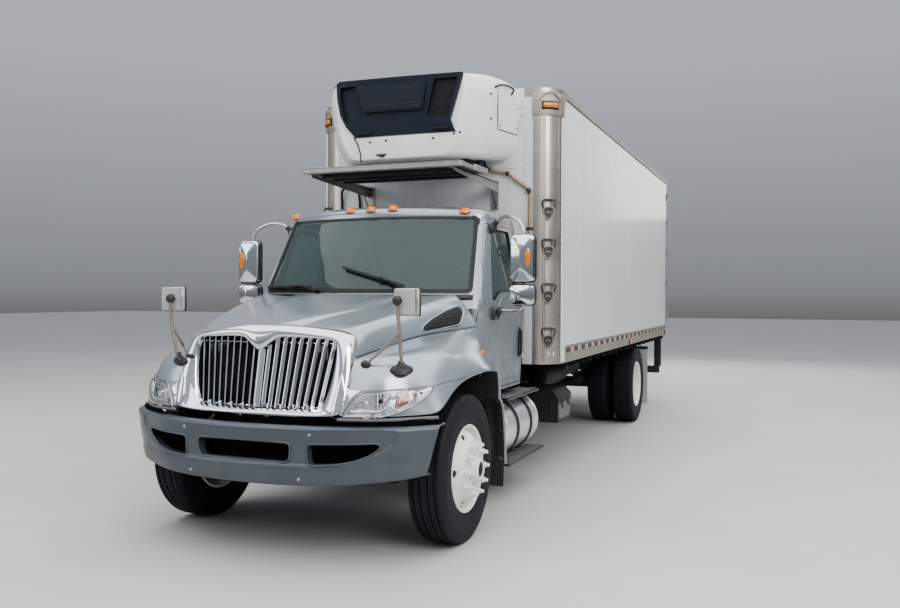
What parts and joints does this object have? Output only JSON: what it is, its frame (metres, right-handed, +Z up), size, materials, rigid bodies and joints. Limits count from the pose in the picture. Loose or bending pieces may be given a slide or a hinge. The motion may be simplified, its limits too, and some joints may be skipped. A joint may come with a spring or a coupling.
{
  "type": "refrigerated box truck",
  "caption": "Conventional-cab refrigerated box truck with tilting hood, opening cab and rear doors, steered front wheels and twin rear wheels.",
  "frame": {"origin": "middle of the overall box on the ground, halfway between the front bumper and the rear door hinges", "axes": "+Y towards the rear of the truck, +X towards the driver's (left) side, +Z up"},
  "size_m": [2.69, 9.978, 3.6],
  "materials": {
    "silver_paint": "metallic silver lacquer",
    "white_panel": "smooth white painted aluminium sheet",
    "white_wheel": "white enamel, a little dusty",
    "bumper_grey": "satin mid grey",
    "black_steel": "black chassis enamel",
    "cast_parts": "cast, painted dark",
    "bright_chrome": "polished",
    "polished_alloy": "polished",
    "plain_alloy": "mill finish",
    "dark_plastic": "grained",
    "trim_plastic": "grained interior trim",
    "unit_white": "moulded shell",
    "unit_slate": "dark slate moulding",
    "tyre_rubber": "ribbed tread, dusty sidewall",
    "flap_rubber": "sheet rubber",
    "tinted_glass": "tinted",
    "lamp_lens": "clear lens",
    "seat_cloth": "woven cloth"
  },
  "bodies": {
    "chassis": {"chassis_frame": "black_steel", "engine_block": "cast_parts", "radiator": "plain_alloy", "front_axle": "black_steel", "leaf_springs": "black_steel", "rear_axle": "cast_parts", "driveshaft": "black_steel", "cab_shell": "silver_paint", "cab_glass": "tinted_glass", "dashboard": "trim_plastic", "seats": "seat_cloth", "steering_wheel": "dark_plastic", "wipers": "dark_plastic", "front_bumper": "bumper_grey", "fuel_tank": "polished_alloy", "cab_steps": "black_steel", "battery_box": "dark_plastic", "exhaust_box": "plain_alloy", "mud_flaps": "flap_rubber", "box_floor": "plain_alloy", "box_front_wall": "white_panel", "box_side_walls": "white_panel", "box_roof": "white_panel", "box_rails": "plain_alloy", "corner_posts": "polished_alloy", "folding_steps": "plain_alloy", "box_rear_frame": "plain_alloy", "rear_guard": "black_steel", "cooling_unit": "unit_white", "unit_front_panel": "unit_slate", "walkway": "plain_alloy", "hoses": "flap_rubber"},
    "hood_body": {"hood": "silver_paint", "grille_surround": "bright_chrome", "grille": "bright_chrome", "headlights": "lamp_lens", "hood_mirrors": "plain_alloy"},
    "left_door_body": {"door_left": "silver_paint", "door_glass_left": "tinted_glass", "side_mirror_left": "bright_chrome"},
    "right_door_body": {"door_right": "silver_paint", "door_glass_right": "tinted_glass", "side_mirror_right": "bright_chrome"},
    "left_knuckle_body": {"steering_knuckle_left": "cast_parts"},
    "right_knuckle_body": {"steering_knuckle_right": "cast_parts"},
    "left_front_wheel_body": {"front_wheel_left": "white_wheel", "front_tyre_left": "tyre_rubber"},
    "right_front_wheel_body": {"front_wheel_right": "white_wheel", "front_tyre_right": "tyre_rubber"},
    "left_rear_wheel_body": {"rear_wheel_left": "white_wheel", "rear_tyres_left": "tyre_rubber"},
    "right_rear_wheel_body": {"rear_wheel_right": "white_wheel", "rear_tyres_right": "tyre_rubber"},
    "left_rear_door_body": {"rear_door_left": "white_panel"},
    "right_rear_door_body": {"rear_door_right": "white_panel"}
  },
  "joints": [
    {"name": "hood_tilt", "type": "hinge", "parent": "chassis", "child": "hood_body", "pos_m": [0, -4.869, 0.86], "axis": [1, 0, 0], "range_deg": [0, 60]},
    {"name": "left_door_swing", "type": "hinge", "parent": "chassis", "child": "left_door_body", "pos_m": [1.012, -3.332, 1.4], "axis": [0, 0, -1], "range_deg": [0, 70]},
    {"name": "right_door_swing", "type": "hinge", "parent": "chassis", "child": "right_door_body", "pos_m": [-1.012, -3.332, 1.4], "axis": [0, 0, 1], "range_deg": [0, 70]},
    {"name": "left_steer", "type": "hinge", "parent": "chassis", "child": "left_knuckle_body", "pos_m": [0.863, -3.939, 0.508], "axis": [0, 0, 1], "range_deg": [-38, 38]},
    {"name": "right_steer", "type": "hinge", "parent": "chassis", "child": "right_knuckle_body", "pos_m": [-0.863, -3.939, 0.508], "axis": [0, 0, 1], "range_deg": [-38, 38]},
    {"name": "left_front_wheel_spin", "type": "hinge", "parent": "left_knuckle_body", "child": "left_front_wheel_body", "pos_m": [1.015, -3.939, 0.508], "axis": [1, 0, 0], "continuous": true},
    {"name": "right_front_wheel_spin", "type": "hinge", "parent": "right_knuckle_body", "child": "right_front_wheel_body", "pos_m": [-1.015, -3.939, 0.508], "axis": [1, 0, 0], "continuous": true},
    {"name": "left_rear_wheel_spin", "type": "hinge", "parent": "chassis", "child": "left_rear_wheel_body", "pos_m": [0.918, 2.361, 0.508], "axis": [1, 0, 0], "continuous": true},
    {"name": "right_rear_wheel_spin", "type": "hinge", "parent": "chassis", "child": "right_rear_wheel_body", "pos_m": [-0.918, 2.361, 0.508], "axis": [1, 0, 0], "continuous": true},
    {"name": "left_rear_door_swing", "type": "hinge", "parent": "chassis", "child": "left_rear_door_body", "pos_m": [1.234, 4.975, 2.3], "axis": [0, 0, -1], "range_deg": [0, 270]},
    {"name": "right_rear_door_swing", "type": "hinge", "parent": "chassis", "child": "right_rear_door_body", "pos_m": [-1.234, 4.975, 2.3], "axis": [0, 0, 1], "range_deg": [0, 270]}
  ],
  "couplings": [
    {"joint": "right_steer", "follows": "left_steer", "ratio": 1}
  ]
}
